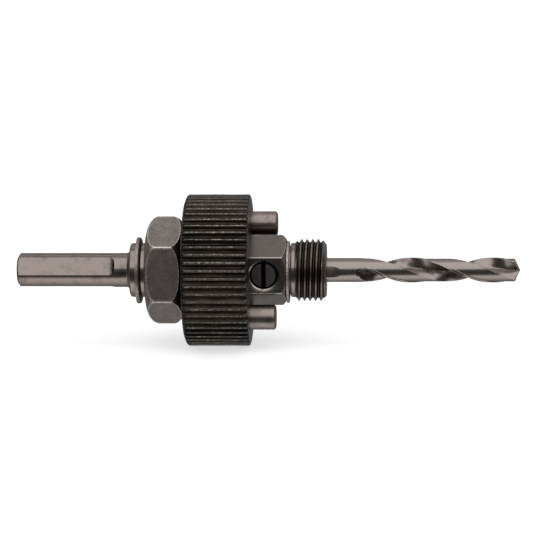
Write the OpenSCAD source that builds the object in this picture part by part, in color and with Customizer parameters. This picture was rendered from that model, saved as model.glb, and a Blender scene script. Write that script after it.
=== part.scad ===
// Hole saw arbor with lock nut, knurled drive collar and pilot drill.
// The axis lies along X, with the shank at the low end and the drill's point at the high end.
// The origin is on the axis, where the nose thread begins. Sizes are in millimetres.
// Angles round the axis count from the -Y side towards +Z.

/* [Bar] */
// Hexagon bar across flats, which is also the outside diameter of both threads
bar_af = 15.875; // [14.5:0.125:18]
// Length of the hexagon
hex_len = 16.83; // [14:0.01:24]
// Length of the chamfer on the corners at each end of the hexagon
hex_chamfer_len = 1.05; // [0.4:0.05:1.8]
// How far that chamfer goes in below the flats
hex_chamfer_depth = 0.1; // [0.04:0.02:0.6]

/* [Nose] */
// Length of the nose thread
nose_len = 8; // [6:0.1:20]
// Length of the chamfer at the nose's end
nose_chamfer_len = 1.1; // [0.4:0.1:1.6]
// Depth of the chamfer at the nose's end
nose_chamfer_depth = 1.4; // [0.6:0.1:2]
// Length of the neck behind the nose thread
neck_len = 1.1; // [0.8:0.1:4]
// Depth of the neck below the thread's crests
neck_depth = 1; // [0.7:0.1:1.3]
// Length of the neck's rear chamfer
neck_chamfer = 0.3; // [0.1:0.05:0.4]

/* [Rear collar] */
// Length of the plain collar behind the rear thread
land_len = 4.2; // [3.6:0.1:8]
// Depth of the plain collar below the thread's crests
land_depth = 1.02; // [0.8:0.02:1.3]
// Radius of the plain collar's rear corner
land_corner_r = 0.7; // [0.2:0.1:1]

/* [Shank] */
// Length of the chuck shank
shank_len = 29.05; // [26:0.05:45]
// Diameter of the chuck shank
shank_d = 8.74; // [8:0.02:10]
// Length of the chamfer at the shank's end
shank_chamfer_len = 0.7; // [0.3:0.1:1.5]
// Depth of the chamfer at the shank's end
shank_chamfer_depth = 1; // [0.3:0.1:1.5]
// Radius of the fillet where the shank meets the plain collar
shank_fillet_r = 1.2; // [0.4:0.1:1.6]
// Number of flats on the shank
flat_count = 3; // [3:1:6]
// Depth of each flat
flat_depth = 0.68; // [0.3:0.02:0.9]
// Length of the flats
flat_len = 23.65; // [15:0.05:24]
// Radius of the curve where a flat runs out
flat_runout_r = 1.27; // [0.9:0.01:1.9]
// Angle of the first flat
flat_angle = 25; // [0:1:119]

/* [Retaining rings] */
// Width of the front groove
front_groove_len = 1.07; // [0.9:0.01:1.4]
// Depth of the front groove below the neck
front_groove_depth = 0.74; // [0.5:0.02:1]
// Thickness of the front ring
front_ring_t = 0.67; // [0.4:0.01:0.8]
// Radial width of the front ring
front_ring_w = 1.27; // [1:0.01:2]
// Radial slack of the front ring on its groove
front_ring_slack = 0.5; // [0.3:0.05:0.7]
// Width of the rear groove
rear_groove_len = 1.35; // [1.1:0.01:1.6]
// Depth of the rear groove below the plain collar
rear_groove_depth = 0.8; // [0.5:0.02:1.2]
// Thickness of the rear ring
rear_ring_t = 1; // [0.6:0.01:1]
// Radial width of the rear ring
rear_ring_w = 2.28; // [1.9:0.01:3]
// Radial slack of the rear ring on its groove
rear_ring_slack = 0.1; // [0.05:0.01:0.3]
// Plain collar between the thread and the rear groove
rear_groove_setback = 1.18; // [1:0.01:1.6]
// Opening of each ring, as an angle
ring_gap = 24; // [12:1:60]

/* [Lock nut] */
// Nut across flats
nut_af = 24; // [22:0.1:30]
// Width of the nut
nut_len = 10.02; // [9:0.02:10.8]
// Width of the flat ring round the nut's hole
nut_face_w = 0.51; // [0.3:0.01:2]
// Length of the domed chamfer on each side
nut_dome_len = 3.4; // [1.5:0.1:4.2]
// Angle of the nut's first flat
nut_angle = 4.5; // [0:0.5:60]
// Gap between the nut and the rear ring, with the nut backed off
nut_back_gap = 1.42; // [0.9:0.01:4]

/* [Drive collar] */
// Metal outside the pins, out to the knurl's ridges
collar_rim = 3.525; // [2.8:0.025:8]
// Length of the collar
collar_len = 16.68; // [15:0.01:17.5]
// Distance from the hexagon's front end back to the collar's face
collar_setback = 9.19; // [8.6:0.01:9.4]
// Length of the rounded front edge
collar_front_len = 0.85; // [0.4:0.05:2]
// Depth of the rounded front edge
collar_front_depth = 1.3; // [0.9:0.1:2]
// Length of the rounded rear edge
collar_rear_len = 1; // [0.4:0.1:2]
// Depth of the rounded rear edge
collar_rear_depth = 1.5; // [0.9:0.1:2]
// Number of knurl ridges
knurl_count = 60; // [48:4:72]
// Depth of the knurl
knurl_depth = 0.75; // [0.3:0.05:0.8]
// Share of the pitch that each ridge's flat top takes
knurl_top = 0.14; // [0.05:0.01:0.4]
// Chamfer at each mouth of the hexagon bore
collar_mouth = 0.5; // [0.2:0.1:1]

/* [Drive pins] */
// Diameter of the pins
pin_d = 6.35; // [5:0.05:7]
// How much narrower the pins' pressed ends are
pin_seat_step = 0.5; // [0.4:0.05:1]
// Room round each pin at the collar's face, where its hole is chamfered
pin_mouth = 0.1; // [0.05:0.05:0.3]
// Metal between the collar's bore and each pin, which puts the pins on a 25.4 mm circle
pin_wall = 1.5375; // [1:0.0125:3]
// How far the pins stand out of the collar
pin_out = 6.71; // [4:0.01:8]
// Depth of the pins in the collar
pin_in = 12; // [8:0.1:13]
// Radius of the pins' rounded ends
pin_round = 0.6; // [0.2:0.1:1.2]
// Angle of the upper pin
pin_angle = 120; // [120:60:180]

/* [Set screw] */
// Diameter of the set screw
screw_d = 7.9375; // [6:0.0625:8.5]
// Distance from the hexagon's front end back to the screw
screw_setback = 5.66; // [5.2:0.01:7]
// Depth of the screw's face below the flat
screw_sunk = 0.4; // [0.2:0.05:1]
// Chamfer round the screw's outer face
screw_chamfer = 0.48; // [0.2:0.02:0.8]
// Length of the cone at the screw's inner end
screw_cone_len = 1.2; // [0.6:0.1:1.8]
// Diameter of the screw's inner face
screw_point_d = 4.6; // [3:0.1:5]
// Width of the screwdriver slot
slot_w = 1.17; // [0.8:0.01:1.6]
// Depth of the screwdriver slot
slot_depth = 1.6; // [0.8:0.1:2]
// Chamfer round the tapped hole
screw_mouth = 0.12; // [0.05:0.01:0.4]

/* [Pilot drill] */
// Cutting diameter of the drill
drill_d = 6.35; // [5.5:0.05:6.5]
// Length of the drill that stands out of the nose
drill_out = 49.2; // [40:0.1:70]
// Length of the drill inside the bore
drill_in = 32.8; // [28:0.1:34]
// Angle of the drill's point
point_angle = 130; // [118:1:140]
// How much smaller the shank's radius is than the cutting radius
drill_shank_drop = 0.085; // [0.05:0.005:0.15]
// How much smaller the lands' radius is than the margins'
land_relief = 0.26; // [0.1:0.02:0.4]
// Radius of the drill's web
web_r = 0.62; // [0.4:0.02:1]
// Length of one turn of the flutes
flute_lead = 41.2; // [30:0.1:60]
// Length of the flutes from where they start to the point
flute_len = 41; // [30:0.1:45]
// Length over which the flutes come up to full depth
flute_runout = 5.2; // [2:0.1:10]
// Angle of a flute's middle where the flutes start
flute_angle = 163.8; // [0:0.1:359]
// Depth of the clamping flat on the drill's shank
drill_flat_depth = 0.35; // [0.2:0.01:0.6]
// How far the clamping flat shows past the nose
drill_flat_out = 3.6; // [1:0.1:7]
// Chamfer at the drill's rear end
drill_end_chamfer = 0.4; // [0.1:0.1:1]
// Chamfer at the mouth of the drill's bore
bore_mouth = 0.3; // [0.1:0.1:1]

/* [Fits] */
// Gap between each ring and the rear wall of its groove
ring_side_gap = 0.05; // [0.02:0.01:0.2]
// Gap between the hexagon and the collar's bore, on each side
hex_gap = 0.05; // [0.02:0.01:0.09]
// Radial gap between the rear thread and the nut
nut_gap = 0.05; // [0.02:0.01:0.09]
// Radial gap between the set screw and its hole
screw_gap = 0.04; // [0.02:0.01:0.09]
// Gap between the set screw and the drill's flat
screw_point_gap = 0.05; // [0.02:0.01:0.09]
// Room behind the drill in its bore
bore_room = 1.2; // [0.5:0.1:3]
// Depth of the tapped hole past the screw's inner face
screw_hole_room = 0.5; // [0.3:0.1:0.8]

/* [Hidden] */
$fn = 96;

// Room that a cutting shape has past the surface it cuts through
over = 1;
arc_steps = 6;
// Where the turned shapes begin, away from every corner of the hexagons and the knurl
seam_angle = 10.7;

// Radii
thread_r = bar_af / 2;
neck_r = thread_r - neck_depth;
front_root_r = neck_r - front_groove_depth;
land_r = thread_r - land_depth;
rear_root_r = land_r - rear_groove_depth;
shank_r = shank_d / 2;
core_r = thread_r - hex_chamfer_depth - neck_chamfer;
bore_af = bar_af + 2 * hex_gap;
pin_circle_r = bore_af / 2 + pin_wall + pin_d / 2;
collar_r = pin_circle_r + pin_d / 2 + collar_rim;
pin_seat_r = (pin_d - pin_seat_step) / 2;
pin_mouth_depth = pin_d / 2 + pin_mouth - pin_seat_r;
margin_r = drill_d / 2;
drill_land_r = margin_r - land_relief;
drill_shank_r = margin_r - drill_shank_drop;
bore_r = margin_r;
drill_flat_dist = drill_shank_r - drill_flat_depth;
screw_r = screw_d / 2;
screw_hole_r = screw_r + screw_gap;

// Places along the axis
groove_front_x = -neck_len;
hex_front_x = groove_front_x - front_groove_len;
hex_rear_x = hex_front_x - hex_len;
collar_front_x = hex_front_x - collar_setback;
collar_rear_x = collar_front_x - collar_len;
nut_rear_x = collar_rear_x - nut_len;
rear_groove_x = nut_rear_x - nut_back_gap - rear_ring_t - ring_side_gap;
land_front_x = rear_groove_x + rear_groove_len + rear_groove_setback;
land_rear_x = land_front_x - land_len;
shank_end_x = land_rear_x - shank_len;
flat_end_x = shank_end_x + flat_len;
screw_x = hex_front_x - screw_setback;
tip_x = nose_len + drill_out;
drill_rear_x = nose_len - drill_in;
bore_end_x = drill_rear_x - bore_room;
flute_x = tip_x - flute_len;
drill_flat_x = nose_len + drill_flat_out;

// Places across the axis
screw_face_y = thread_r - screw_sunk;
screw_point_y = drill_flat_dist + screw_point_gap;
screw_hole_y = screw_point_y - screw_hole_room;

// Points on an arc from angle a0 to a1, with its own radius each way
function arc(cx, cy, rx, ry, a0, a1) =
    [for (i = [0 : arc_steps]) let (a = a0 + (a1 - a0) * i / arc_steps)
        [cx + rx * cos(a), cy + ry * sin(a)]];

// A point at radius r and angle a round the axis, as its Y and Z
function round_axis(r, a) = [-r * cos(a), r * sin(a)];

// Lays what stands on Z along X
module along_x() {
    rotate([seam_angle, 0, 0]) rotate([0, 90, 0]) children();
}

// Turns an outline of [radius, x] points about the X axis
module turned(points) {
    along_x() rotate_extrude() polygon(points);
}

// Stretches an outline in Y and Z along X
module drawn(x0, x1) {
    translate([x0, 0, 0]) rotate([90, 0, 90]) linear_extrude(x1 - x0) children();
}

// A hexagon prism with one flat facing the given angle
module hexagon(af, x0, x1, angle = 0) {
    drawn(x0, x1) rotate(30 - angle) circle(r = af / 2 / cos(30), $fn = 6);
}

// A round bar or hole along X
module rod(r, x0, x1) {
    translate([x0, 0, 0]) along_x() cylinder(r = r, h = x1 - x0);
}

// A cone along X
module taper(r0, r1, x0, x1) {
    translate([x0, 0, 0]) along_x() cylinder(r1 = r0, r2 = r1, h = x1 - x0);
}

// An open ring, with its gap on the +Y side, hanging down by its slack
module open_ring(hole_r, w, t, x, drop) {
    translate([x, 0, -drop]) rotate([0, 90, 0])
        rotate_extrude(angle = 360 - ring_gap, start = 90 + ring_gap / 2)
            translate([hole_r, 0]) square([w, t]);
}

// The turned outline from the shank's end to the nose
module turned_bar() {
    turned(concat(
        [[0, shank_end_x],
         [shank_r - shank_chamfer_depth, shank_end_x],
         [shank_r, shank_end_x + shank_chamfer_len]],
        arc(shank_r + shank_fillet_r, land_rear_x - shank_fillet_r,
            shank_fillet_r, shank_fillet_r, 180, 90),
        arc(land_r - land_corner_r, land_rear_x + land_corner_r,
            land_corner_r, land_corner_r, -90, 0),
        [[land_r, rear_groove_x],
         [rear_root_r, rear_groove_x],
         [rear_root_r, rear_groove_x + rear_groove_len],
         [land_r, rear_groove_x + rear_groove_len],
         [land_r, land_front_x],
         [thread_r, land_front_x + land_depth],
         [thread_r, hex_rear_x],
         [core_r, hex_rear_x],
         [core_r, hex_front_x],
         [front_root_r, hex_front_x],
         [front_root_r, groove_front_x],
         [neck_r - neck_chamfer, groove_front_x],
         [neck_r, groove_front_x + neck_chamfer],
         [neck_r, 0],
         [thread_r, 0],
         [thread_r, nose_len - nose_chamfer_len],
         [thread_r - nose_chamfer_depth, nose_len],
         [0, nose_len]]));
}

// The hexagon, chamfered at both ends
module hex_section() {
    chamfer_r = thread_r - hex_chamfer_depth;
    corner_r = thread_r / cos(30);
    slope = hex_chamfer_len / (corner_r - chamfer_r);
    chamfer_reach = slope * (corner_r + over - chamfer_r);
    intersection() {
        hexagon(bar_af, hex_rear_x, hex_front_x);
        turned([[0, hex_rear_x],
                [chamfer_r, hex_rear_x],
                [corner_r + over, hex_rear_x + chamfer_reach],
                [corner_r + over, hex_front_x - chamfer_reach],
                [chamfer_r, hex_front_x],
                [0, hex_front_x]]);
    }
}

// The cut that leaves one flat on the shank, with its curved runout
module flat_cut() {
    flat_dist = shank_r - flat_depth;
    cut_y = flat_dist + flat_runout_r;
    linear_extrude(shank_d + over, center = true) {
        translate([shank_end_x - over, -cut_y - flat_runout_r])
            square([flat_len + over, 2 * flat_runout_r]);
        translate([flat_end_x, -cut_y]) circle(r = flat_runout_r);
    }
}

// The blind bore that holds the drill
module drill_bore() {
    rod(bore_r, bore_end_x, nose_len + over);
    taper(0, bore_r, bore_end_x - bore_r * tan(31), bore_end_x);
    taper(bore_r, bore_r + bore_mouth + over, nose_len - bore_mouth, nose_len + over);
}

// The tapped hole for the set screw
module screw_hole() {
    translate([screw_x, -screw_hole_y, 0]) rotate([90, 0, 0])
        cylinder(r = screw_hole_r, h = thread_r - screw_hole_y + over);
    translate([screw_x, -(thread_r - screw_mouth), 0]) rotate([90, 0, 0])
        cylinder(r1 = screw_hole_r, r2 = screw_hole_r + screw_mouth + over, h = screw_mouth + over);
}

module arbor_body() {
    color("#8d8884") difference() {
        union() {
            turned_bar();
            hex_section();
        }
        for (i = [0 : flat_count - 1]) rotate([-flat_angle - i * 360 / flat_count, 0, 0]) flat_cut();
        drill_bore();
        screw_hole();
    }
}

module rear_retaining_ring() {
    color("#5c5956") open_ring(rear_root_r + rear_ring_slack, rear_ring_w, rear_ring_t,
                               rear_groove_x + ring_side_gap, rear_ring_slack);
}

module front_retaining_ring() {
    color("#8a8682") open_ring(front_root_r + front_ring_slack, front_ring_w, front_ring_t,
                               hex_front_x + ring_side_gap, front_ring_slack);
}

// A hexagon nut with both faces domed
module lock_nut() {
    corner_r = nut_af / 2 / cos(30);
    hole_r = thread_r + nut_gap;
    face_r = hole_r + nut_face_w;
    dome_r = corner_r - face_r;
    mouth = nut_face_w / 2;
    color("#7c7874") difference() {
        intersection() {
            hexagon(nut_af, nut_rear_x, collar_rear_x, nut_angle);
            turned(concat([[0, nut_rear_x]],
                arc(face_r, nut_rear_x + nut_dome_len, dome_r, nut_dome_len, -90, 0),
                arc(face_r, collar_rear_x - nut_dome_len, dome_r, nut_dome_len, 0, 90),
                [[0, collar_rear_x]]));
        }
        rod(hole_r, nut_rear_x - over, collar_rear_x + over);
        taper(hole_r + mouth + over, hole_r, nut_rear_x - over, nut_rear_x + mouth);
        taper(hole_r, hole_r + mouth + over, collar_rear_x - mouth, collar_rear_x + over);
    }
}

// The knurl's outline: flat-topped ridges with sharp roots
module knurl_outline() {
    pitch = 360 / knurl_count;
    half_top = knurl_top * pitch / 2;
    polygon([for (i = [0 : knurl_count - 1], edge = [0 : 2])
        let (a = (i + 0.5) * pitch)
            edge == 0 ? round_axis(collar_r, a - half_top)
          : edge == 1 ? round_axis(collar_r, a + half_top)
          : round_axis(collar_r - knurl_depth, a + pitch / 2)]);
}

// The collar's turned outline, with its rounded edges
module collar_outline() {
    wide = collar_r + over;
    mid_depth = 0.3;
    mid_len = 0.4;
    front_mid = [collar_r - mid_depth * collar_front_depth, collar_front_x - mid_len * collar_front_len];
    rear_mid = [collar_r - mid_depth * collar_rear_depth, collar_rear_x + mid_len * collar_rear_len];
    front_slope = (1 - mid_len) * collar_front_len / (mid_depth * collar_front_depth);
    rear_slope = (1 - mid_len) * collar_rear_len / (mid_depth * collar_rear_depth);
    turned([[0, collar_rear_x],
            [collar_r - collar_rear_depth, collar_rear_x],
            rear_mid,
            [wide, collar_rear_x + collar_rear_len + over * rear_slope],
            [wide, collar_front_x - collar_front_len - over * front_slope],
            front_mid,
            [collar_r - collar_front_depth, collar_front_x],
            [0, collar_front_x]]);
}

module drive_collar() {
    mouth_r = bore_af / 2 / cos(30) + collar_mouth;
    inner_r = mouth_r - collar_mouth - over;
    reach = collar_mouth + over;
    color("#6f6a66") difference() {
        intersection() {
            drawn(collar_rear_x, collar_front_x) knurl_outline();
            collar_outline();
        }
        hexagon(bore_af, collar_rear_x - over, collar_front_x + over);
        taper(mouth_r, inner_r, collar_rear_x, collar_rear_x + reach);
        taper(inner_r, mouth_r, collar_front_x - reach, collar_front_x);
        for (side = [0, 180]) rotate([-pin_angle - side, 0, 0]) translate([0, -pin_circle_r, 0]) {
            rod(pin_seat_r, collar_front_x - pin_in, collar_front_x + over);
            taper(pin_seat_r, pin_seat_r + pin_mouth_depth + over,
                  collar_front_x - pin_mouth_depth, collar_front_x + over);
        }
    }
}

// One drive pin, with rounded ends and a shoulder level with the collar's face
module drive_pin(angle) {
    r = pin_d / 2;
    x0 = collar_front_x - pin_in;
    x1 = collar_front_x + pin_out;
    rotate([-angle, 0, 0]) translate([0, -pin_circle_r, 0])
        turned(concat([[0, x0]],
            arc(pin_seat_r - pin_round, x0 + pin_round, pin_round, pin_round, -90, 0),
            [[pin_seat_r, collar_front_x], [r, collar_front_x]],
            arc(r - pin_round, x1 - pin_round, pin_round, pin_round, 0, 90),
            [[0, x1]]));
}

module drive_pin_upper() {
    color("#98938f") drive_pin(pin_angle);
}

module drive_pin_lower() {
    color("#98938f") drive_pin(pin_angle + 180);
}

module set_screw() {
    len = screw_face_y - screw_point_y;
    color("#4c4a4c") translate([screw_x, -screw_point_y, 0]) rotate([90, 0, 0]) difference() {
        rotate_extrude() polygon([[0, 0],
                                  [screw_point_d / 2, 0],
                                  [screw_r, screw_cone_len],
                                  [screw_r, len - screw_chamfer],
                                  [screw_r - screw_chamfer, len],
                                  [0, len]]);
        translate([-slot_w / 2, -screw_r - over, len - slot_depth])
            cube([slot_w, screw_d + 2 * over, slot_depth + over]);
    }
}

// One half of the drill's section at full depth, as [angle from the flute's middle, radius].
// The flute rises slowly to the heel behind it and steeply to the cutting edge ahead.
flute_rise = [[-46, 1], [-36, 0.63], [-24, 0.33], [-10, 0.12], [6, 0.02],
              [20, 0.05], [32, 0.18], [40, 0.42], [45, 0.72]];
flute_edge = 48;
margin_end = 60;
land_steps = [63, 85, 109];
half_section = concat(
    [for (p = flute_rise) [p[0], web_r + p[1] * (drill_land_r - web_r)]],
    [[flute_edge, margin_r], [margin_end, margin_r]],
    [for (a = land_steps) [a, drill_land_r]]);
section_size = 2 * len(half_section);

// Share of the full depth that the flutes have at x
function flute_share(x) =
    let (s = min(1, max(0, (x - flute_x) / flute_runout))) 1 - (1 - s) * (1 - s);

// One ring of the drill's surface, kept inside the cone of the point
function drill_ring(x) =
    let (turn = flute_angle - 360 * (x - flute_x) / flute_lead,
         cone_r = (tip_x - x) * tan(point_angle / 2),
         share = flute_share(x))
    [for (half = [0, 180], p = half_section)
        let (r = min(cone_r, drill_land_r + share * (p[1] - drill_land_r)),
             yz = round_axis(r, turn + half + p[0]))
            [x, yz[0], yz[1]]];

// The fluted end of the drill, as rings joined one to the next
module fluted_end() {
    ring_step = 0.8;
    lead_in = 0.55;
    point_len = margin_r / tan(point_angle / 2);
    point_shares = [1, 0.8, 0.6, 0.4, 0.22, 0.08];
    body_len = flute_len + lead_in - point_len;
    body_rings = ceil(body_len / ring_step);
    xs = concat([for (i = [0 : body_rings - 1]) flute_x - lead_in + body_len * i / body_rings],
                [for (s = point_shares) tip_x - s * point_len]);
    n = section_size;
    last = (len(xs) - 1) * n;
    points = concat([for (x = xs) each drill_ring(x)], [[tip_x, 0, 0]]);
    faces = concat(
        [[for (k = [0 : n - 1]) n - 1 - k]],
        [for (i = [0 : len(xs) - 2], k = [0 : n - 1], side = [0, 1])
            let (a = i * n + k, b = i * n + (k + 1) % n)
                side == 0 ? [a, b, a + n] : [b, b + n, a + n]],
        [for (k = [0 : n - 1]) [last + k, last + (k + 1) % n, last + n]]);
    polyhedron(points, faces);
}

module pilot_drill() {
    color("#a5a09b") union() {
        difference() {
            turned([[0, drill_rear_x],
                    [drill_shank_r - drill_end_chamfer, drill_rear_x],
                    [drill_shank_r, drill_rear_x + drill_end_chamfer],
                    [drill_shank_r, flute_x],
                    [0, flute_x]]);
            translate([drill_rear_x - over, -margin_r - over, -margin_r])
                cube([drill_flat_x - drill_rear_x + over, margin_r + over - drill_flat_dist, drill_d]);
        }
        fluted_end();
    }
}

arbor_body();
rear_retaining_ring();
lock_nut();
drive_collar();
drive_pin_upper();
drive_pin_lower();
front_retaining_ring();
set_screw();
pilot_drill();
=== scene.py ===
import math
import random

import bmesh
import bpy
import numpy as np
from mathutils import Matrix, Vector


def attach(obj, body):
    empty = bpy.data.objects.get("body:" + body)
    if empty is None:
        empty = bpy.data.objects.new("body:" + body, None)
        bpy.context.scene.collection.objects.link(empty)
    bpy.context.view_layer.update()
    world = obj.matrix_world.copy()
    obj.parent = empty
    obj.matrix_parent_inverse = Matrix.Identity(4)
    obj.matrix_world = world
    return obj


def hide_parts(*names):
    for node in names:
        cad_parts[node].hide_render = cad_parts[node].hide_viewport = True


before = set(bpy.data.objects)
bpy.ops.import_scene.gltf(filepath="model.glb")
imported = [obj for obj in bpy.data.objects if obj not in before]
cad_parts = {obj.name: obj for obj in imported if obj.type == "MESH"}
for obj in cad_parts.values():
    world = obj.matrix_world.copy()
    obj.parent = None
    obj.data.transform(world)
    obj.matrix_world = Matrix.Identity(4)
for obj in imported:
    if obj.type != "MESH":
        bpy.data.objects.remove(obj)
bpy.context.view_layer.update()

# Lengths in this file are in millimetres, and angles round the axis are in degrees from -Y towards +Z.
MM = 0.001
PITCH = 1.4111
BAR_AF = 15.875
THREAD_R = BAR_AF / 2
BORE_R = 3.175

# Places along the axis, from the part's source
SHANK_END, FLAT_END, LAND_REAR, LAND_FRONT = -71.25, -47.5, -42.2, -38.0
GROOVE_REAR = (-40.53, -39.18)
HEX_REAR, HEX_FRONT, GROOVE_FRONT, NOSE_END = -19.0, -2.17, -1.1, 8.0
COLLAR_REAR, COLLAR_FRONT, NUT_REAR = -28.04, -11.36, -38.06
SCREW_X, BORE_END = -7.83, -26.0


def rad(a):
    return a * math.pi / 180


# Mesh tools

def filleted(points, steps=4):
    """An outline of (x, r, fillet) corners, with each corner rounded by its fillet."""
    out = []
    for i, (x, r, f) in enumerate(points):
        p = np.array((x, r), float)
        if not f or i in (0, len(points) - 1):
            out.append(p)
            continue
        a, b = (np.array(points[i + s][:2], float) - p for s in (-1, 1))
        la, lb = np.linalg.norm(a), np.linalg.norm(b)
        a, b = a / la, b / lb
        half = max(0.05, math.acos(np.clip(a @ b, -1, 1)) / 2)
        t = min(f / math.tan(half), 0.48 * la, 0.48 * lb)
        for u in np.linspace(0, 1, steps + 1):
            out.append((1 - u) ** 2 * (p + a * t) + 2 * u * (1 - u) * p + u * u * (p + b * t))
    return np.array(out)


def points_of(x, r, angle):
    """Grid of points from arrays of x, radius and angle in degrees."""
    a = np.radians(angle)
    x, r, a = np.broadcast_arrays(x, r, a)
    return np.stack([x, -r * np.cos(a), r * np.sin(a)], axis=-1)


def grid_faces(rows, cols, wrap=True):
    faces = []
    for i in range(rows - 1):
        for k in range(cols if wrap else cols - 1):
            a, b = i * cols + k, i * cols + (k + 1) % cols
            faces.append((a, a + cols, b + cols, b))
    return faces


def build(name, points, faces, body, nodes, material, wear_and_painted_shade=None, sharp=32, cut=()):
    """One piece from its points in millimetres: welded, closed and shaded smooth between its edges."""
    mesh = bpy.data.meshes.new(name)
    flat = np.asarray(points, float).reshape(-1, 3) * MM
    mesh.from_pydata(flat.tolist(), [], faces)
    # This attribute holds real wear on some pieces and painted shade on others: the pins' inner sides, the thread
    # roots, the rear groove and the flats' runouts.
    layer = mesh.attributes.new("wear_and_painted_shade", "FLOAT", "POINT")
    layer.data.foreach_set("value", np.zeros(len(flat)) if wear_and_painted_shade is None else np.asarray(wear_and_painted_shade, float).ravel())
    bm = bmesh.new()
    bm.from_mesh(mesh)
    bmesh.ops.remove_doubles(bm, verts=bm.verts, dist=2e-6)
    bmesh.ops.dissolve_degenerate(bm, edges=bm.edges, dist=1e-6)
    bmesh.ops.recalc_face_normals(bm, faces=bm.faces)
    bm.to_mesh(mesh)
    bm.free()
    piece = bpy.data.objects.new(name, mesh)
    bpy.context.scene.collection.objects.link(piece)
    for cutter in cut:
        subtract(piece, cutter)
    finish_mesh(piece.data, sharp)
    piece.data.materials.clear()
    piece.data.materials.append(material)
    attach(piece, body)
    if nodes:
        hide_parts(*nodes)
    return piece


def finish_mesh(mesh, sharp):
    mesh.shade_smooth()
    mesh.set_sharp_from_angle(angle=rad(sharp))


def subtract(piece, cutter):
    """Cuts one mesh from another and removes the cutting one."""
    mod = piece.modifiers.new("cut", "BOOLEAN")
    mod.operation, mod.solver, mod.object = "DIFFERENCE", "EXACT", cutter
    bpy.context.view_layer.update()
    done = bpy.data.meshes.new_from_object(piece.evaluated_get(bpy.context.evaluated_depsgraph_get()))
    piece.modifiers.clear()
    piece.data = done
    bpy.data.objects.remove(cutter)


def plain_solid(points, faces):
    """A closed mesh that only cuts another."""
    mesh = bpy.data.meshes.new("cutter")
    mesh.from_pydata((np.asarray(points, float).reshape(-1, 3) * MM).tolist(), [], faces)
    bm = bmesh.new()
    bm.from_mesh(mesh)
    bmesh.ops.remove_doubles(bm, verts=bm.verts, dist=2e-6)
    bmesh.ops.recalc_face_normals(bm, faces=bm.faces)
    bm.to_mesh(mesh)
    bm.free()
    cutter = bpy.data.objects.new("cutter", mesh)
    bpy.context.scene.collection.objects.link(cutter)
    return cutter


def lathe(outline, cols=144, first=0.0):
    """Points and faces of an outline turned about the axis."""
    angle = first + np.arange(cols) * 360 / cols
    x, r = outline[:, 0:1], outline[:, 1:2]
    return points_of(x, r, angle[None, :]), grid_faces(len(outline), cols)


def hexagon_columns(af, corner, first, flat_steps=14, arc_steps=6):
    """Angles and radii round a hexagon with rounded corners. One flat faces the angle first."""
    c = (af / 2 - corner) / math.cos(rad(30))
    edge = math.degrees(math.atan2(corner * 0.5, c + corner * math.cos(rad(30))))
    angles, radii, at_corner = [], [], []
    for side in range(6):
        middle = first + 30 + 60 * side
        for t in np.linspace(-edge, edge, arc_steps + 1):
            s = rad(t)
            angles.append(middle + t)
            radii.append(c * math.cos(s) + math.sqrt(max(0, corner ** 2 - (c * math.sin(s)) ** 2)))
            at_corner.append(1 - abs(t) / edge * 0.3)
        for t in np.linspace(edge, 60 - edge, flat_steps + 1)[1:-1]:
            angles.append(middle + t)
            radii.append(af / 2 / math.cos(rad(t - 30)))
            at_corner.append(0.7 * max(0, 1 - min(t - edge, 60 - edge - t) / 4))
    return np.array(angles), np.array(radii), np.array(at_corner)


# Material tools

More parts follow.
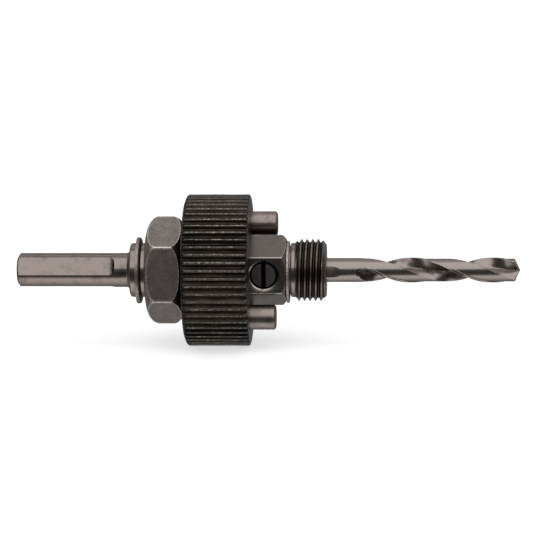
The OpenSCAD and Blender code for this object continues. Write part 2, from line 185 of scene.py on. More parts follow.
class Shader:
    """A material made of nodes, with short names for the kinds it uses."""

    def __init__(self, name):
        self.material = bpy.data.materials.new(name)
        self.material.use_nodes = True
        self.nodes = self.material.node_tree.nodes
        self.links = self.material.node_tree.links
        self.bsdf = self.nodes["Principled BSDF"]
        self.bsdf.inputs["Metallic"].default_value = 1
        self.coords = self.add("ShaderNodeTexCoord").outputs["Object"]

    def add(self, kind, **values):
        node = self.nodes.new(kind)
        for key, value in values.items():
            setattr(node, key, value)
        return node

    def plug(self, node, key, value):
        socket = node.inputs[key]
        if isinstance(value, bpy.types.NodeSocket):
            self.links.new(value, socket)
        else:
            socket.default_value = value

    def stretch(self, x=1.0, y=1.0, z=1.0, move=0.0):
        """The piece's own coordinates in millimetres, stretched along each axis."""
        node = self.add("ShaderNodeMapping")
        self.links.new(self.coords, node.inputs["Vector"])
        node.inputs["Scale"].default_value = (x / MM, y / MM, z / MM)
        node.inputs["Location"].default_value = (move, move * 1.7, move * 0.6)
        return node.outputs["Vector"]

    def noise(self, vector, scale=1.0, detail=4.0, rough=0.55):
        node = self.add("ShaderNodeTexNoise")
        self.plug(node, "Vector", vector)
        self.plug(node, "Scale", scale)
        self.plug(node, "Detail", detail)
        self.plug(node, "Roughness", rough)
        return node.outputs["Fac"]

    def math(self, kind, a, b=0.0, clamp=False):
        node = self.add("ShaderNodeMath", operation=kind, use_clamp=clamp)
        self.plug(node, 0, a)
        self.plug(node, 1, b)
        return node.outputs[0]

    def remap(self, value, low, high, to_low=0.0, to_high=1.0):
        node = self.add("ShaderNodeMapRange")
        for key, v in (("Value", value), ("From Min", low), ("From Max", high),
                       ("To Min", to_low), ("To Max", to_high)):
            self.plug(node, key, v)
        return node.outputs["Result"]

    def mix(self, factor, a, b):
        node = self.add("ShaderNodeMix", data_type="RGBA")
        self.plug(node, 0, factor)
        for key, value in ((6, a), (7, b)):
            self.plug(node, key, value if isinstance(value, bpy.types.NodeSocket) else (*value, 1))
        return node.outputs[2]

    def attribute(self, name):
        node = self.add("ShaderNodeAttribute", attribute_name=name)
        return node.outputs["Fac"]

    def separate(self, vector):
        node = self.add("ShaderNodeSeparateXYZ")
        self.plug(node, 0, vector)
        return node.outputs

    def bump(self, height, distance, strength=1.0, normal=None):
        node = self.add("ShaderNodeBump")
        self.plug(node, "Height", height)
        self.plug(node, "Distance", distance * MM)
        self.plug(node, "Strength", strength)
        if normal is not None:
            self.links.new(normal, node.inputs["Normal"])
        return node.outputs["Normal"]

    def out(self, color=None, rough=None, normal=None):
        for key, value in (("Base Color", color), ("Roughness", rough), ("Normal", normal)):
            if value is not None:
                self.plug(self.bsdf, key, value if isinstance(value, (float, bpy.types.NodeSocket)) else (*value, 1))
        return self.material


# Camera, light and floor

def make_camera():
    azimuth, elevation, distance = rad(3), rad(10.3), 588
    away = Vector((math.cos(elevation) * math.sin(azimuth), -math.cos(elevation) * math.cos(azimuth),
                   math.sin(elevation)))
    forward = -away
    right = (Vector((1, 0, 0)) - forward * forward.x).normalized()
    up = right.cross(forward)
    place = (Vector((-7.415, 0, 0)) + up * 0.895 + away * distance) * MM
    data = bpy.data.cameras.new("camera")
    data.lens, data.sensor_width, data.clip_start, data.clip_end = 155.3, 36, 0.01, 100
    camera = bpy.data.objects.new("camera", data)
    camera.matrix_world = Matrix.Translation(place) @ Matrix((right, up, away)).transposed().to_4x4()
    bpy.context.scene.collection.objects.link(camera)
    bpy.context.scene.camera = camera


# Light level of the tent round the part, by the angle from the camera's side over the top
TENT = [(-180, .22), (-140, .24), (-122, .30), (-112, .46), (-98, .66), (-84, .82), (-70, .88), (-58, .84), (-52, .10), (-20, .05), (6, .10),
        (12, 1.0), (88, 1.0), (93, .30), (102, .30), (108, .56), (124, .50), (134, .24), (180, .22)]
TENT_TILT = 10.3
END_LEVEL = .12


def make_world():
    world = bpy.data.worlds.new("tent")
    bpy.context.scene.world = world
    world.use_nodes = True
    nodes, links = world.node_tree.nodes, world.node_tree.links
    back = nodes["Background"]
    coords = nodes.new("ShaderNodeTexCoord")
    parts = nodes.new("ShaderNodeSeparateXYZ")
    links.new(coords.outputs["Generated"], parts.inputs[0])

    def calc(kind, a, b=None):
        node = nodes.new("ShaderNodeMath")
        node.operation = kind
        for i, v in enumerate((a, b)):
            if isinstance(v, bpy.types.NodeSocket):
                links.new(v, node.inputs[i])
            elif v is not None:
                node.inputs[i].default_value = v
        return node.outputs[0]

    around = calc("ARCTAN2", parts.outputs["Z"], calc("MULTIPLY", parts.outputs["Y"], -1.0))
    turn = calc("SUBTRACT", calc("MULTIPLY", around, 0.5 / math.pi), TENT_TILT / 360 - 0.5)
    turn = calc("FRACT", calc("ADD", turn, 1.0))
    ramp = nodes.new("ShaderNodeValToRGB")
    links.new(turn, ramp.inputs[0])
    stops = ramp.color_ramp.elements
    for angle, level in TENT[1:-1]:
        stops.new((angle + 180) / 360)
    for stop, (angle, level) in zip(stops, TENT):
        stop.position = (angle + 180) / 360
        stop.color = (level, level, level, 1)
    ends = calc("ABSOLUTE", parts.outputs["X"])
    blend = nodes.new("ShaderNodeMapRange")
    blend.interpolation_type = "SMOOTHSTEP"
    links.new(ends, blend.inputs["Value"])
    blend.inputs["From Min"].default_value = 0.70
    blend.inputs["From Max"].default_value = 0.95
    mix = nodes.new("ShaderNodeMix")
    mix.data_type = "RGBA"
    links.new(blend.outputs["Result"], mix.inputs[0])
    links.new(ramp.outputs["Color"], mix.inputs[6])
    mix.inputs[7].default_value = (*[END_LEVEL] * 3, 1)
    path = nodes.new("ShaderNodeLightPath")
    seen = nodes.new("ShaderNodeMix")
    seen.data_type = "RGBA"
    links.new(path.outputs["Is Camera Ray"], seen.inputs[0])
    links.new(mix.outputs[2], seen.inputs[6])
    seen.inputs[7].default_value = (1, 1, 1, 1)
    links.new(seen.outputs[2], back.inputs["Color"])
    back.inputs["Strength"].default_value = 1


def make_floor():
    size, z = 8.0, -19.45 * MM
    mesh = bpy.data.meshes.new("floor")
    mesh.from_pydata([(-size, -size, z), (size, -size, z), (size, size, z), (-size, size, z)], [], [(0, 1, 2, 3)])
    floor = bpy.data.objects.new("floor", mesh)
    bpy.context.scene.collection.objects.link(floor)
    material = bpy.data.materials.new("floor_white")
    material.use_nodes = True
    nodes, links = material.node_tree.nodes, material.node_tree.links
    nodes.remove(nodes["Principled BSDF"])
    diffuse = nodes.new("ShaderNodeBsdfDiffuse")
    diffuse.inputs["Color"].default_value = (0.8, 0.8, 0.8, 1)
    glow = nodes.new("ShaderNodeEmission")
    path = nodes.new("ShaderNodeLightPath")
    level = nodes.new("ShaderNodeMath")
    level.operation = "MULTIPLY"
    level.inputs[1].default_value = 0.62
    links.new(path.outputs["Is Camera Ray"], level.inputs[0])
    links.new(level.outputs[0], glow.inputs["Strength"])
    both = nodes.new("ShaderNodeAddShader")
    links.new(diffuse.outputs[0], both.inputs[0])
    links.new(glow.outputs[0], both.inputs[1])
    links.new(both.outputs[0], nodes["Material Output"].inputs["Surface"])
    mesh.materials.append(material)
    floor.visible_glossy = False


# Metals

def turned_steel(name, base=(.35, .293, .27), rough=0.2):
    """Lathe-turned steel: fine rings across the axis, faint stains, and painted shade in the thread roots, the rear
    groove and the flats' runouts.
    """
    s = Shader(name)
    rings = s.noise(s.stretch(9, .12, .12), 1.0, 5, .6)
    stain = s.noise(s.stretch(.35, .35, .35, 3), 1.0, 4, .6)
    specks = s.noise(s.stretch(3, 3, 3, 8), 1.0, 3, .7)
    dark = tuple(c * .62 for c in base)
    color = s.mix(s.remap(stain, .52, .72), base, dark)
    color = s.mix(s.remap(specks, .66, .78, 0, .5), color, dark)
    color = s.mix(s.remap(rings, .35, .65, 0, .25), color, tuple(min(1, c * 1.18) for c in base))
    # Painted shade: the attribute, broken up by specks, darkens the steel towards near-black.
    dirt_and_painted_shade = s.remap(s.math("ADD", s.attribute("wear_and_painted_shade"), s.remap(specks, .3, .7, -.15, .15)), .3, .85)
    color = s.mix(dirt_and_painted_shade, color, (.035, .03, .027))
    roughness = s.math("ADD", s.remap(rings, .3, .7, rough - .06, rough + .1), s.math("MULTIPLY", dirt_and_painted_shade, .2))
    return s.out(color, roughness, s.bump(rings, .012, .35))


def drawn_steel(name, base=(.35, .31, .29), rough=0.2):
    """Cold-drawn bar: faint lines along the axis, dull patches and worn corners."""
    s = Shader(name)
    lines = s.noise(s.stretch(.15, 6, 6), 1.0, 5, .6)
    patch = s.noise(s.stretch(.3, .3, .3, 5), 1.0, 4, .6)
    wear_and_painted_shade = s.attribute("wear_and_painted_shade")
    dark = tuple(c * .66 for c in base)
    color = s.mix(s.remap(patch, .45, .7), base, dark)
    edge = s.remap(s.math("ADD", wear_and_painted_shade, s.remap(lines, .3, .7, -.25, .25)), .45, .9)
    color = s.mix(edge, color, (.78, .71, .67))
    roughness = s.remap(patch, .3, .7, rough - .06, rough + .12)
    return s.out(color, roughness, s.bump(lines, .01, .3))


def nut_metal(name):
    """Plated nut: speckled dull faces with bright worn edges."""
    s = Shader(name)
    grain = s.noise(s.stretch(3.2, 3.2, 3.2), 1.0, 4, .7)
    patch = s.noise(s.stretch(.4, .4, .4, 4), 1.0, 3, .6)
    wear_and_painted_shade = s.attribute("wear_and_painted_shade")
    color = s.mix(s.remap(grain, .4, .62), (.46, .40, .38), (.20, .17, .16))
    color = s.mix(s.remap(patch, .4, .7, 0, .5), color, (.54, .47, .44))
    edge = s.remap(s.math("ADD", wear_and_painted_shade, s.remap(grain, .3, .7, -.3, .3)), .44, .8)
    color = s.mix(edge, color, (.93, .86, .81))
    roughness = s.remap(grain, .35, .65, .26, .50)
    return s.out(color, roughness, s.bump(grain, .02, .4))


def knurl_metal(name):
    """Blackened knurl whose ridges are worn bright, and a turned front face."""
    s = Shader(name)
    grain = s.noise(s.stretch(1.4, 3, 3), 1.0, 4, .7)
    wear_and_painted_shade = s.attribute("wear_and_painted_shade")
    patch = s.noise(s.stretch(.25, .5, .5, 2), 1.0, 3, .6)
    edge = s.remap(s.math("ADD", wear_and_painted_shade, s.remap(grain, .3, .7, -.34, .34)), .97, 1.22)
    base = s.mix(s.remap(patch, .4, .65), (.026, .021, .017), (.05, .041, .035))
    base = s.mix(s.remap(wear_and_painted_shade, .3, .8), base, (.11, .097, .088))
    color = s.mix(edge, base, (.56, .50, .46))
    roughness = s.remap(grain, .3, .7, .26, .42)
    return s.out(color, roughness, s.bump(grain, .02, .35))


def ground_steel(name, base=(.38, .318, .30), rough=.3):
    """Centreless-ground pins with fine marks round them, and painted shade on their sides that face the axis."""
    s = Shader(name)
    marks = s.noise(s.stretch(6, 1.2, 1.2), 1.0, 5, .65)
    stain = s.noise(s.stretch(.5, .5, .5, 6), 1.0, 4, .6)
    color = s.mix(s.remap(stain, .48, .7), base, tuple(c * .6 for c in base))
    # Painted shade: near-black where the attribute marks the pins' inner sides.
    dirt_and_painted_shade = s.attribute("wear_and_painted_shade")
    color = s.mix(dirt_and_painted_shade, color, (.05, .042, .04))
    roughness = s.math("ADD", s.remap(marks, .3, .7, rough - .05, rough + .1), s.math("MULTIPLY", dirt_and_painted_shade, .15))
    return s.out(color, roughness, s.bump(marks, .012, .35))


def black_steel(name):
    """Black oxide set screw with turned marks, and painted shade: near-black in its slot and in a ring round the edge
    of its end.
    """
    s = Shader(name)
    marks = s.noise(s.stretch(5, .6, 5), 1.0, 4, .6)
    x, y, z = s.separate(s.stretch())[:3]
    off = s.math("SUBTRACT", x, SCREW_X)
    reach = s.math("SQRT", s.math("ADD", s.math("POWER", off, 2.0), s.math("POWER", z, 2.0)))
    # Painted shade: outside this mask, in the slot and round the rim of the screw's end, the colour is near-black.
    face = s.math("MULTIPLY", s.remap(reach, 3.10, 2.98), s.remap(s.math("ABSOLUTE", off), .56, .62))
    color = s.mix(s.remap(marks, .35, .7), (.15, .132, .132), (.24, .212, .212))
    color = s.mix(face, (.012, .010, .010), color)
    return s.out(color, s.remap(marks, .3, .7, .38, .55), s.bump(marks, .015, .4))


def ring_steel(name, base, rough):
    """Stamped spring steel."""
    s = Shader(name)
    grain = s.noise(s.stretch(2.5, 2.5, 2.5), 1.0, 4, .6)
    color = s.mix(s.remap(grain, .4, .65), base, tuple(c * .55 for c in base))
    return s.out(color, s.remap(grain, .3, .7, rough - .08, rough + .12), s.bump(grain, .012, .3))


def drill_metal(name):
    """Bright ground drill with dark stains in its flutes."""
    s = Shader(name)
    marks = s.noise(s.stretch(7, .5, .5), 1.0, 4, .6)
    stain = s.noise(s.stretch(.30, .45, .45, 9), 1.0, 5, .62)
    wear_and_painted_shade = s.attribute("wear_and_painted_shade")
    streak = s.math("MULTIPLY", s.math("SUBTRACT", wear_and_painted_shade, 1.0), .20)
    blotch = s.remap(stain, 0, 1, .20, .80)
    dirt_and_painted_shade = s.math("MULTIPLY", s.remap(s.math("ADD", blotch, streak), .44, .60), s.math("MINIMUM", wear_and_painted_shade, 1.0))
    color = s.mix(dirt_and_painted_shade, (.40, .345, .325), (.07, .06, .055))
    roughness = s.math("ADD", s.remap(marks, .3, .7, .20, .30), s.math("MULTIPLY", dirt_and_painted_shade, .2))
    return s.out(color, roughness, s.bump(marks, .008, .3))


# Arbor

def shank_section(material):
    """Shank with three flats, fillet, plain land and the rear ring's groove."""
    r, depth, runout, rise = 4.37, .68, 2.0, 1.5
    outline = filleted([
        (SHANK_END, 0, 0), (SHANK_END, 3.37, .25), (SHANK_END + .7, r, .2), (FLAT_END - 14, r, 0),
        (FLAT_END - 7, r, 0), (FLAT_END - .01, r, 0)])
    curve = [(FLAT_END + t, r) for t in np.linspace(0, rise, 12)]
    rest = filleted([
        (FLAT_END + rise + .01, r, 0), (LAND_REAR - 1.9, r, 0), (LAND_REAR - .6, r + .05, .9), (LAND_REAR, 5.3, .8),
        (LAND_REAR, 6.5, .3), (LAND_REAR + .45, 6.9175, .4), (GROOVE_REAR[0], 6.9175, .1),
        (GROOVE_REAR[0], 6.1175, .08), (GROOVE_REAR[1], 6.1175, .08), (GROOVE_REAR[1], 6.9175, .1),
        (LAND_FRONT, 6.9175, 0), (LAND_FRONT, 0, 0)], 5)
    outline = np.vstack([outline, np.array(curve), rest])
    x, base = outline[:, 0], outline[:, 1]
    flat = np.full(len(x), r - depth)
    late = x > FLAT_END
    flat[late] = r - depth + runout - np.sqrt(np.clip(runout ** 2 - (x[late] - FLAT_END) ** 2, 0, None))
    flat[x > FLAT_END + rise + .005] = 99
    half = np.degrees(np.arccos(np.clip(flat / np.maximum(base, 1e-6), -1, 1)))
    half[base < 1e-6] = 0
    angles, radii, dirt_and_painted_shade = [], [], []
    for i in range(3):
        middle = 25 + 120 * i
        inner = np.linspace(-1, 1, 31)[None, :] * half[:, None]
        outer = half[:, None] + np.linspace(0, 1, 31)[None, 1:-1] * (120 - 2 * half[:, None])
        angles += [middle + inner, middle + outer]
        cut = np.minimum(base[:, None], flat[:, None] / np.cos(np.radians(inner)))
        radii += [cut, np.repeat(base[:, None], outer.shape[1], 1)]
        # Painted shade on the runout at each flat's end, growing darker along the runout.
        dirt_and_painted_shade.append(np.broadcast_to(np.where(late & (x < FLAT_END + rise), .4 + (x - FLAT_END) / 2.2, 0)[:, None],
                                    inner.shape))
        dirt_and_painted_shade.append(np.zeros(outer.shape))
    angles, radii, dirt_and_painted_shade = np.hstack(angles), np.hstack(radii), np.hstack(dirt_and_painted_shade)
    # Painted shade: the floor of the rear ring's groove is made fully dark.
    dirt_and_painted_shade = np.where((x > GROOVE_REAR[0] - .01) & (x < GROOVE_REAR[1] + .01) & (base < 6.3), 1.0, 0)[:, None] + dirt_and_painted_shade
    points = points_of(x[:, None], radii, angles)
    build("arbor_shank", points, grid_faces(*radii.shape), "arbor", ["arbor_body"], material, dirt_and_painted_shade)


def threaded(x0, x1, crest, depth, phase, limit, before, after, cols=160):
    """Rows that follow a helical thread between x0 and x1, with plain turned rows at both ends."""
    shape = [(0.0, 1.0), (.09, 1.0), (.26, .60), (.42, .06), (.50, 0.0), (.58, .06), (.74, .60), (.91, 1.0)]
    angle = np.linspace(0, 360, cols + 1)
    turns = np.arange(math.floor((x0 - phase) / PITCH) - 2, math.ceil((x1 - phase) / PITCH) + 2)
    share = np.array([n + f for n in turns for f, d in shape])
    low = np.array([d for n in turns for f, d in shape])
    x = phase + PITCH * (share[:, None] - .5 + angle[None, :] / 360)
    clipped = np.clip(x, x0, x1)
    place = (clipped - phase) / PITCH - angle[None, :] / 360 + .5
    table_f, table_d = zip(*(shape + [(1.0, 1.0)]))
    drop = np.interp(place % 1, table_f, table_d)
    drop = np.where(np.abs(x - clipped) < 1e-9, low[:, None], drop)
    r = np.minimum(crest - depth * drop, limit(clipped))
    cut = np.clip((limit(clipped) - r) / .12, 0, 1)
    # Painted shade: darker the deeper into the thread's root, only where the thread is cut.
    dirt_and_painted_shade = np.clip(drop * 1.7 - .22, 0, .92) * cut
    ends = [(np.full(cols + 1, px), np.full(cols + 1, pr)) for px, pr in list(before) + list(after)]
    k = len(before)
    x_all = np.vstack([e[0] for e in ends[:k]] + [clipped] + [e[0] for e in ends[k:]])
    r_all = np.vstack([e[1] for e in ends[:k]] + [r] + [e[1] for e in ends[k:]])
    points = points_of(x_all, r_all, angle[None, :])
    wear_and_painted_shade = np.vstack([np.zeros((k, cols + 1)), dirt_and_painted_shade, np.zeros((len(after), cols + 1))])
    return points, grid_faces(len(x_all), cols + 1, wrap=False), wear_and_painted_shade


def rear_thread(material):
    def limit(x):
        return np.minimum(6.93 + (x - LAND_FRONT), THREAD_R)
    points, faces, wear_and_painted_shade = threaded(
        LAND_FRONT, HEX_REAR, THREAD_R, .80, LAND_FRONT + .6, limit, [(LAND_FRONT, 0)],
        [(HEX_REAR, BORE_R), (BORE_END, BORE_R), (BORE_END - 1.9, 0)])
    build("arbor_rear_thread", points, faces, "arbor", ["arbor_body"], material, wear_and_painted_shade, 40)


def nose(material):
    """Front groove, neck, nose thread and the mouth of the drill's bore."""
    def limit(x):
        return np.minimum(np.minimum(THREAD_R, 6.5375 + (NOSE_END - x) * 1.4 / 1.1), 6.94 + 1.25 * x)
    before = [tuple(p) for p in filleted([
        (HEX_FRONT, BORE_R, 0), (HEX_FRONT, 6.1975, 0), (GROOVE_FRONT, 6.1975, .06), (GROOVE_FRONT, 6.66, .05),
        (GROOVE_FRONT + .3, 6.9375, .1), (0, 6.9375, 0)])]
    after = [tuple(p) for p in filleted([
        (NOSE_END, 6.5, 0), (NOSE_END, 3.475, .05), (NOSE_END - .3, BORE_R, 0), (HEX_FRONT, BORE_R, 0)])]
    points, faces, wear_and_painted_shade = threaded(0, NOSE_END, THREAD_R, .82, 1.585 - PITCH / 4, limit, before, after)
    build("arbor_nose", points, faces, "arbor", ["arbor_body"], material, wear_and_painted_shade, 40)


def hexagon_section(material):
    """Hexagon with chamfered ends and the countersunk screw hole."""
    angles, radii, corner = hexagon_columns(BAR_AF, .25, 0, 16, 6)
    low = THREAD_R - .1
    slope = 1.05 / (THREAD_R / math.cos(rad(30)) - low)
    reach = (radii - low) * slope
    rows_x, rows_r, rows_w = [], [], []

    def row(x, r, w=0.0):
        rows_x.append(np.broadcast_to(x, radii.shape))
        rows_r.append(np.broadcast_to(r, radii.shape))
        rows_w.append(np.broadcast_to(w, radii.shape))

    row(HEX_REAR, BORE_R)
    row(HEX_REAR, low)
    for t in (.5, .97):
        row(HEX_REAR + reach * t, low + (radii - low) * t, .2)
    row(HEX_REAR + reach + .06, radii, .8)
    row(HEX_REAR + reach + .3, radii, corner * .9)
    for t in (.35, .65):
        row((HEX_REAR + reach) * (1 - t) + (HEX_FRONT - reach) * t, radii, corner * .9)
    row(HEX_FRONT - reach - .35, radii, corner * .9)
    row(HEX_FRONT - reach - .06, radii, .8)
    for t in (.97, .5):
        row(HEX_FRONT - reach * t, low + (radii - low) * t, .2)
    row(HEX_FRONT, low)
    row(HEX_FRONT, BORE_R)
    row(HEX_REAR, BORE_R)
    points = points_of(np.array(rows_x), np.array(rows_r), angles[None, :])
    hole = filleted([(2.2, 0, 0), (2.2, 4.009, 0), (7.58, 4.009, 0), (7.58, 3.56, 0), (7.62, 3.56, 0),
                     (8.5, 5.0, 0), (8.5, 0, 0)])
    turned, faces = lathe(hole, 128)
    turned[..., 2] -= np.where(turned[..., 0] > 8, .7, 0)
    cutter = plain_solid(np.stack([turned[..., 1] + SCREW_X, -turned[..., 0], turned[..., 2]], -1), faces)
    build("arbor_hexagon", points, grid_faces(len(rows_x), len(angles)), "arbor", ["arbor_body"],
          material, wear_and_painted_shade=np.array(rows_w), cut=[cutter])


def slot_burr(material):
    """Small raised burr on the countersink, below the screw's slot, whose light steel is a painted highlight."""
    rng = random.Random(5)
    rows, cols = 7, 14
    points = []
    for i in range(rows):
        up = math.pi * i / (rows - 1)
        for k in range(cols):
            turn = 2 * math.pi * k / cols
            r = math.sin(up) * rng.uniform(.75, 1.15)
            points.append((SCREW_X - .2 + .8 * r * math.cos(turn), -7.62 - .26 * math.cos(up) * rng.uniform(.8, 1.1),
                           -3.95 + .42 * r * math.sin(turn)))
    build("slot_burr", points, grid_faces(rows, cols), "arbor", [], material, sharp=25)


def open_ring(name, node, material, hole, width, thick, x, drop):
    """A retaining ring, open at the back, with rounded edges."""
    section = [(x, hole, .05), (x, hole + width, .12), (x + thick, hole + width, thick * .45), (x + thick, hole, .05)]
    loop = filleted([section[-1]] + section + [section[0]])[1:-1]
    angle = np.linspace(180 + 12, 540 - 12, 97)
    r = loop[:, 1:2]
    points = points_of(loop[:, 0:1], r, angle[None, :])
    points[..., 2] -= drop
    rows, cols = points.shape[:2]
    faces = grid_faces(rows, cols, wrap=False)
    last = (rows - 1) * cols
    faces += [(last + k, k, k + 1, last + k + 1) for k in range(cols - 1)]
    faces += [tuple(i * cols for i in range(rows)), tuple(i * cols + cols - 1 for i in range(rows))]
    build(name, points, faces, "arbor", [node], material)


# Lock nut, collar and pins

def lock_nut(material):
    angles, radii, corner = hexagon_columns(24, .3, 4.5, 18, 6)
    hole, face, dome = 7.9875, 8.4975, 3.4
    reach_r = 12 / math.cos(rad(30)) - face
    front = COLLAR_REAR
    rows_x, rows_r, rows_w = [], [], []

    def row(x, r, w=0.0):
        rows_x.append(np.broadcast_to(x, radii.shape))
        rows_r.append(np.broadcast_to(r, radii.shape))
        rows_w.append(np.broadcast_to(w, radii.shape))

    share = np.clip((radii - face) / reach_r, 0, 1)
    top = np.sqrt(1 - share ** 2)

    def dome_rows(end, sign, back):
        steps = list(np.linspace(0, 1, 9))[1:]
        if back:
            steps = steps[::-1]
        turn = np.arcsin(share)
        for t in steps:
            a = turn * t
            row(end + sign * dome * (1 - np.cos(a)), face + reach_r * np.sin(a), .75 if t == 1 else 0)

    row(NUT_REAR + .25, hole)
    row(NUT_REAR, hole + .25)
    row(NUT_REAR, face)
    dome_rows(NUT_REAR, 1, False)
    row(NUT_REAR + dome * (1 - top) + .12, radii, .8)
    row(NUT_REAR + dome * (1 - top) + .3, radii, corner)
    for t in (.25, .5, .75):
        row((NUT_REAR + dome * (1 - top)) * (1 - t) + (front - dome * (1 - top)) * t, radii, corner)
    row(front - dome * (1 - top) - .3, radii, corner)
    row(front - dome * (1 - top) - .12, radii, .8)
    dome_rows(front, -1, True)
    row(front, face)
    row(front, hole + .25)
    row(front - .25, hole)
    row(NUT_REAR + .25, hole)
    points = points_of(np.array(rows_x), np.array(rows_r), angles[None, :])
    build("lock_nut_worn", points, grid_faces(len(rows_x), len(angles)), "nut", ["lock_nut"],
          material, wear_and_painted_shade=np.array(rows_w))


def smooth_random(rng, n, reach):
    """Random values that change slowly, for wear along a ridge."""
    coarse = [rng.uniform(-1, 1) for i in range(max(2, n // reach + 2))]
    return np.interp(np.arange(n), np.arange(len(coarse)) * reach, coarse)


def drive_collar(material):
    """Straight-knurled collar with a hexagon bore. Each ridge is a little uneven."""
    rng = random.Random(11)
    outer, depth, ridges = 19.4, .75, 60
    shape = [(-3.0, 1.0), (-2.5, .97), (-1.75, .72), (-1.05, .36), (-.55, .08), (-.2, 0), (.2, 0), (.55, .08),
             (1.05, .36), (1.75, .72), (2.5, .97)]
    lengths = list(np.linspace(0, 1, 25))
    n = len(lengths)
    columns, knurl, worn = [], [], []
    for k in range(ridges):
        wide, high = rng.uniform(.85, 1.3), rng.uniform(0, .04)
        sway, dip = smooth_random(rng, n, 6) * .12, np.abs(smooth_random(rng, n, 3)) * .05
        for offset, low in shape:
            if low < .9:
                angle = 3.45 + 6 * k + offset * (wide if low < .5 else 1) + sway * (1 - low)
            else:
                angle = np.full(n, 3.45 + 6 * k + offset)
            columns.append(angle)
            knurl.append(outer - depth * low - (high + dip) * (1 - low))
            worn.append(np.full(n, max(0, 1 - low * 1.7)))
    angles, knurl, worn = np.array(columns).T, np.array(knurl).T, np.array(worn).T
    bore_angle, bore_r, _ = hexagon_columns(15.975, .15, 0)
    middle = angles[n // 2]
    order = np.argsort(bore_angle % 360)
    bore = np.interp(middle % 360, (bore_angle % 360)[order], bore_r[order], period=360)
    front = np.array([(0, 18.45), (.06, 18.8), (.18, 19.1), (.34, 19.3), (.5, 19.4)])
    rear = np.array([(0, 17.7), (.12, 18.0), (.28, 18.47), (.52, 18.98), (.8, 19.26), (1.05, 19.4)])
    rows_x, rows_r, rows_a, rows_w = [], [], [], []

    def row(x, r, a, w=0.0):
        for rows, value in ((rows_x, x), (rows_r, r), (rows_a, a), (rows_w, w)):
            rows.append(np.broadcast_to(value, middle.shape))

    def crease(table, ring):
        return np.interp(ring, table[:, 1], table[:, 0])

    a0, a1 = angles[0], angles[-1]
    row(COLLAR_REAR + .5, bore, a0)
    row(COLLAR_REAR, np.maximum(bore, 9.72), a0)
    row(COLLAR_REAR, 13.0, a0)
    row(COLLAR_REAR, 17.6, a0)
    for t in (0, .35, .7, 1):
        at = crease(rear, knurl[0]) * t
        row(COLLAR_REAR + at, np.minimum(np.interp(at, rear[:, 0], rear[:, 1]), knurl[0]), a0, .35)
    x0, x1 = COLLAR_REAR + crease(rear, knurl[0]), COLLAR_FRONT - crease(front, knurl[-1])
    for i, t in enumerate(lengths):
        row(x0 * (1 - t) + x1 * t, knurl[i], angles[i], worn[i])
    rim = .55 + .4 * np.abs(smooth_random(rng, len(middle), 5))
    for t in (1, .75, .5, .25, 0):
        at = crease(front, knurl[-1]) * t
        row(COLLAR_FRONT - at, np.minimum(np.interp(at, front[:, 0], front[:, 1]), knurl[-1]), a1, rim)
    row(COLLAR_FRONT, 17.8, a1, .5)
    row(COLLAR_FRONT, 13.0, a1, .45)
    row(COLLAR_FRONT, np.maximum(bore, 9.72), a1, .4)
    row(COLLAR_FRONT - .5, bore, a1)
    row(COLLAR_REAR + .5, bore, a0)
    points = points_of(np.array(rows_x), np.array(rows_r), np.array(rows_a))
    build("drive_collar_knurled", points, grid_faces(len(rows_x), len(middle)), "collar", ["drive_collar"],
          material, wear_and_painted_shade=np.array(rows_w), sharp=50)


def drive_pin(name, node, angle, material):
    """A ground pin with a rounded end, seated in the collar."""
    r = 3.175
    outline = filleted([
        (COLLAR_FRONT - 2, 0, 0), (COLLAR_FRONT - 2, r, 0), (-5.15, r, .15), (-4.75, r - .38, .3),
        (-4.65, r - .9, .2), (-4.65, 0, 0)], 5)
    points, faces = lathe(outline, 96)
    # Painted shade on the side of the pin that faces the axis, where the collar and hexagon shade it.
    inward = np.cos(np.radians(np.arange(96) * 360 / 96 - angle - 180))
    dirt_and_painted_shade = np.broadcast_to(np.clip((inward - .55) / .25, 0, .9), points.shape[:2])
    a = rad(angle)
    points[..., 1] += -12.7 * math.cos(a)
    points[..., 2] += 12.7 * math.sin(a)
    build(name, points, faces, "collar", [node], material, dirt_and_painted_shade)


def set_screw(material):
    """Slotted set screw, chamfered at the slot's end and coned at its point."""
    outline = filleted([
        (2.79, 0, 0), (2.79, 2.3, .1), (3.99, 3.969, .1), (7.06, 3.969, .08), (7.5375, 3.49, .08), (7.5375, 0, 0)])
    turned, faces = lathe(outline, 96)
    points = np.stack([turned[..., 1] + SCREW_X, -turned[..., 0], turned[..., 2]], -1)
    half, floor, top = 1.17 / 2, -(7.5375 - 1.6), -9
    box = [(SCREW_X + sx * half, y, z) for sx in (-1, 1) for y in (floor, top) for z in (-6, 6)]
    sides = [(0, 1, 3, 2), (4, 6, 7, 5), (0, 4, 5, 1), (2, 3, 7, 6), (0, 2, 6, 4), (1, 5, 7, 3)]
    wear_and_painted_shade = np.zeros(points.shape[:2])
    build("set_screw_slotted", points, faces, "screw", ["set_screw"], material, wear_and_painted_shade=wear_and_painted_shade,
          cut=[plain_solid(box, sides)])


# Pilot drill

FLUTE_RISE = [(-46, 1), (-41, .80), (-36, .63), (-30, .47), (-24, .33), (-17, .21), (-10, .12), (-2, .05), (6, .02),
              (14, .03), (20, .05), (26, .11), (32, .18), (36, .29), (40, .42), (43, .58), (45, .72), (47, .92)]


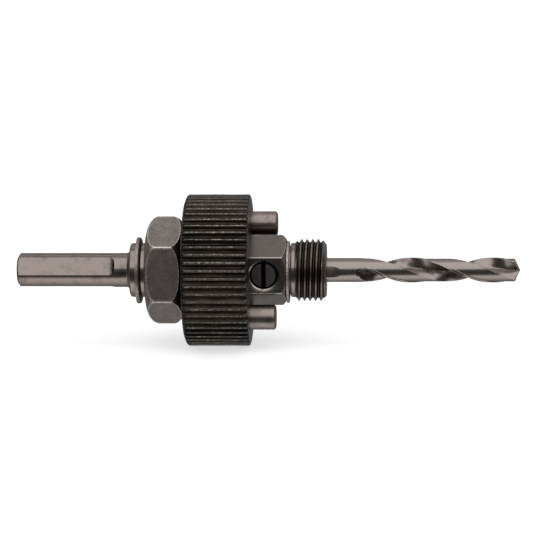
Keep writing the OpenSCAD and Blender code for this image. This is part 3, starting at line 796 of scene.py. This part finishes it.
def pilot_drill(material):
    """Twist drill: shank with a clamping flat, two flutes with margins, and the cone of its point."""
    flute_x, tip, lead, runout, start = 16.2, 57.2, 41.2, 5.2, 163.8
    web, land, margin, shank, half_point = .62, 2.915, 3.175, 3.09, rad(65)
    half = [(a, web + d * (land - web), 1.0) for a, d in FLUTE_RISE]
    half += [(48, margin - .03, .1), (49, margin, 0), (54, margin, 0), (59, margin, 0), (60, margin - .03, 0)]
    half += [(61, land + .02, 0)] + [(a, land, 0) for a in (64, 72, 80, 90, 100, 112, 122, 130)]
    offset = np.array([a + 180 * s for s in (0, 1) for a, r, w in half])
    depth = np.array([r for s in (0, 1) for a, r, w in half])
    dirt_and_painted_shade = np.array([w for s in (0, 1) for a, r, w in half])
    body = list(np.arange(flute_x - .6, tip - 1.5, .2)) + [tip - 1.481 * t for t in (1, .9, .8, .7, .6, .5, .4, .3,
                                                                                   .2, .12, .05, 0)]
    rows_x, rows_r, rows_a, rows_w = [], [], [], []
    rng = random.Random(14)
    across = [smooth_random(rng, len(offset), 4) for i in range(8)]
    streaks = np.array([[np.interp(i / 24, range(8), [a[k] for a in across]) for k in range(len(offset))]
                        for i in range(len(body))])

    def row(x, r, a, w):
        for rows, value in ((rows_x, x), (rows_r, r), (rows_a, a), (rows_w, w)):
            rows.append(np.broadcast_to(value, offset.shape))

    turned = filleted([(-24.8, 0, 0), (-24.8, 2.69, .05), (-24.4, shank, .05), (NOSE_END + 3.3, shank, 0)])
    for x, r in turned:
        row(x, r, offset + start, 0)
    a0 = offset + start - 360 * (body[0] - flute_x) / lead
    row(body[0] - .05, shank, a0, 0)
    for x, streak in zip(body, streaks):
        s = np.clip((x - flute_x) / runout, 0, 1)
        share = 1 - (1 - s) ** 2
        round_r = shank + (land - shank) * share
        cut = np.minimum(round_r, depth + (1 - share) * (land - web))
        r = np.where(depth > land + .03, round_r + share * (depth - land), cut)
        r = np.minimum(r, (tip - x) * math.tan(half_point))
        fresh = np.clip(1 - (x - flute_x - 1) / 6, 0, 1)
        stained = dirt_and_painted_shade * np.clip((round_r - cut - .03 * fresh) / (.01 + .08 * fresh), 0, 1)
        stained = stained * (1 + .75 * (streak - .25) * (1 - fresh))
        row(x, r, offset + start - 360 * (x - flute_x) / lead, stained * (1 + 1.4 * fresh))
    points = points_of(np.array(rows_x), np.array(rows_r), np.array(rows_a))
    size = 2 * BORE_R
    wheel, end = 10, NOSE_END + .9
    curve = [(end + wheel * math.sin(rad(t)), -2.74 - wheel * (1 - math.cos(rad(t)))) for t in range(0, 33, 2)]
    edge = [(-26.0, -4.2), (-26.0, -2.74)] + curve
    box = [(x, y, z) for z in (-size, size) for x, y in edge]
    n = len(edge)
    sides = [tuple(range(n)), tuple(range(n, 2 * n))] + [(i, (i + 1) % n, (i + 1) % n + n, i + n) for i in range(n)]
    build("pilot_drill_fluted", points, grid_faces(len(rows_x), len(offset)), "drill", ["pilot_drill"],
          material, wear_and_painted_shade=np.array(rows_w), cut=[plain_solid(box, sides)], sharp=28)


make_camera()
make_world()
make_floor()
bar = turned_steel("turned_bar_steel")
shank_section(bar)
rear_thread(bar)
nose(bar)
hexagon_section(drawn_steel("drawn_bar_steel"))
# The burr's light steel stands in for light reflected off the countersink: a painted highlight.
slot_burr(turned_steel("burr_steel_painted_highlight", (.62, .55, .52), .35))
open_ring("rear_ring_open", "rear_retaining_ring", ring_steel("rear_ring_metal", (.48, .42, .39), .42),
          6.2175, 2.28, 1.0, -40.48, .1)
open_ring("front_ring_open", "front_retaining_ring",
          ring_steel("front_ring_metal", (.68, .60, .57), .5), 6.6975, 1.27, .67, -2.12, .5)
lock_nut(nut_metal("nut_plating"))
drive_collar(knurl_metal("knurl_metal"))
pin_metal = ground_steel("pin_metal")
drive_pin("drive_pin_upper_ground", "drive_pin_upper", 120, pin_metal)
drive_pin("drive_pin_lower_ground", "drive_pin_lower", -60, pin_metal)
set_screw(black_steel("screw_metal"))
pilot_drill(drill_metal("drill_metal"))

bpy.context.scene.view_settings.view_transform = "Standard"
